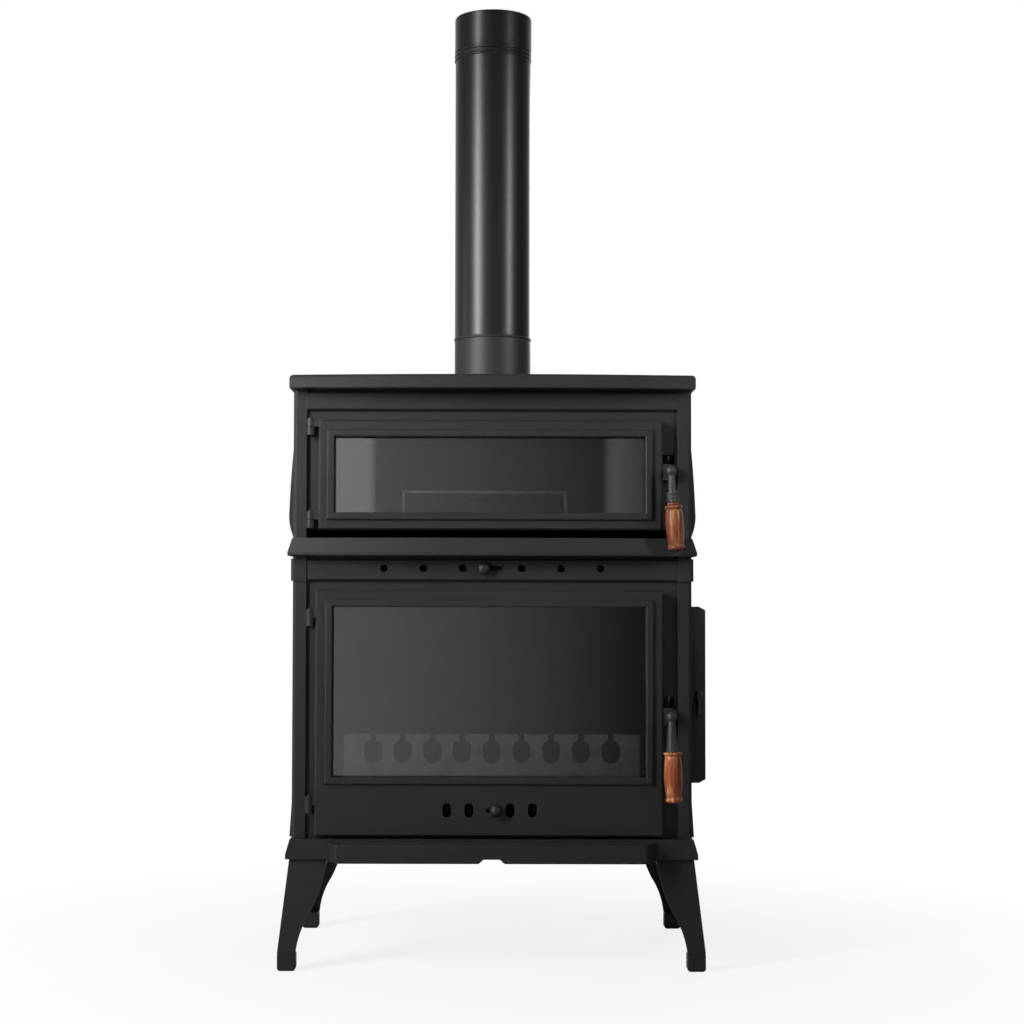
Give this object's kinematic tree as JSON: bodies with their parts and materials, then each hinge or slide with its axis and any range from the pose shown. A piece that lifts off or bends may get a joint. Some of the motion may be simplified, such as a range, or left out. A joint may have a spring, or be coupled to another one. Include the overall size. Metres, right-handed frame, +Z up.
{
  "type": "cast iron cookstove",
  "caption": "Wood-burning cast iron cookstove on splayed legs, with glazed firebox and oven doors, side loading door, air slides, latch handles and an upright flue pipe.",
  "frame": {"origin": "floor level, under the middle of the stove's footprint", "axes": "+X to the viewer's right facing the doors, +Y to the back, +Z up along the flue"},
  "size_m": [0.694, 0.488, 1.593],
  "materials": {
    "stove_iron": "satin black stove finish on fine cast iron",
    "flue_black": "satin black heat-proof paint on sheet steel",
    "door_glass": "clear ceramic glass",
    "grip_wood": "varnished reddish-brown hardwood",
    "seal_rope": "woven glass-fibre rope",
    "bright_steel": "bright plated wire and rods",
    "liner_iron": "bare grey cast iron",
    "oven_sheet": "grey enamelled sheet steel",
    "handle_steel": "turned steel with a dull grey finish"
  },
  "bodies": {
    "stove_body": {"base_plate": "stove_iron", "ash_lip": "stove_iron", "front_left_leg": "stove_iron", "front_right_leg": "stove_iron", "rear_left_leg": "stove_iron", "rear_right_leg": "stove_iron", "foot_pads": "stove_iron", "leg_bolts": "stove_iron", "firebox_front": "stove_iron", "firebox_left_side": "stove_iron", "firebox_right_side": "stove_iron", "firebox_back": "stove_iron", "mid_plate": "stove_iron", "oven_front": "stove_iron", "oven_left_side": "stove_iron", "oven_right_side": "stove_iron", "oven_back": "stove_iron", "top_plate": "stove_iron", "flue_collar": "stove_iron", "flue_collar_bolts": "stove_iron", "flue_pipe": "flue_black", "flue_upper_pipe": "flue_black", "firebox_hinge_pins": "stove_iron", "oven_hinge_pins": "stove_iron", "side_hinge_pins": "stove_iron", "upper_air_guides": "stove_iron", "fire_grate": "liner_iron", "left_fire_liner": "liner_iron", "right_fire_liner": "liner_iron", "rear_fire_liner": "liner_iron", "baffle_plate": "liner_iron", "log_fence": "liner_iron", "ash_pan": "stove_iron", "firebox_tie_rods": "bright_steel", "oven_tie_rods": "bright_steel", "oven_liner": "oven_sheet", "oven_rack": "bright_steel"},
    "firebox_door": {"firebox_door_frame": "stove_iron", "firebox_glass": "door_glass", "firebox_glass_clips": "bright_steel", "firebox_door_rope": "seal_rope", "lower_air_guides": "stove_iron"},
    "firebox_handle": {"firebox_handle_lever": "handle_steel", "firebox_handle_grip": "grip_wood", "firebox_grip_cap": "stove_iron"},
    "lower_air": {"lower_air_slide": "stove_iron", "lower_air_knob": "stove_iron"},
    "upper_air": {"upper_air_slide": "stove_iron", "upper_air_knob": "stove_iron"},
    "oven_door": {"oven_door_frame": "stove_iron", "oven_glass": "door_glass", "oven_glass_clips": "bright_steel", "oven_door_rope": "seal_rope"},
    "oven_handle": {"oven_handle_lever": "handle_steel", "oven_handle_grip": "grip_wood", "oven_grip_cap": "stove_iron"},
    "side_door": {"side_door_panel": "stove_iron", "side_door_rope": "seal_rope"},
    "side_latch": {"side_latch_lever": "stove_iron"}
  },
  "joints": [
    {"name": "firebox_door_hinge", "type": "hinge", "parent": "stove_body", "child": "firebox_door", "pos_m": [-0.293, -0.193, 0.4], "axis": [0, 0, -1], "range_deg": [0, 110]},
    {"name": "firebox_handle_turn", "type": "hinge", "parent": "firebox_door", "child": "firebox_handle", "pos_m": [0.285, -0.179, 0.405], "axis": [0, -1, 0], "range_deg": [0, 90]},
    {"name": "lower_air_pull", "type": "slide", "parent": "firebox_door", "child": "lower_air", "axis": [1, 0, 0], "range_m": [-0.013, 0.007]},
    {"name": "upper_air_pull", "type": "slide", "parent": "stove_body", "child": "upper_air", "axis": [1, 0, 0], "range_m": [0, 0.027]},
    {"name": "oven_door_hinge", "type": "hinge", "parent": "stove_body", "child": "oven_door", "pos_m": [-0.293, -0.193, 0.79], "axis": [0, 0, -1], "range_deg": [0, 110]},
    {"name": "oven_handle_turn", "type": "hinge", "parent": "oven_door", "child": "oven_handle", "pos_m": [0.285, -0.179, 0.797], "axis": [0, -1, 0], "range_deg": [0, 90]},
    {"name": "side_door_hinge", "type": "hinge", "parent": "stove_body", "child": "side_door", "pos_m": [0.332, 0.152, 0.43], "axis": [0, 0, 1], "range_deg": [0, 110]},
    {"name": "side_latch_turn", "type": "hinge", "parent": "side_door", "child": "side_latch", "pos_m": [0.339, -0.117, 0.435], "axis": [-1, 0, 0], "range_deg": [0, 90]}
  ]
}
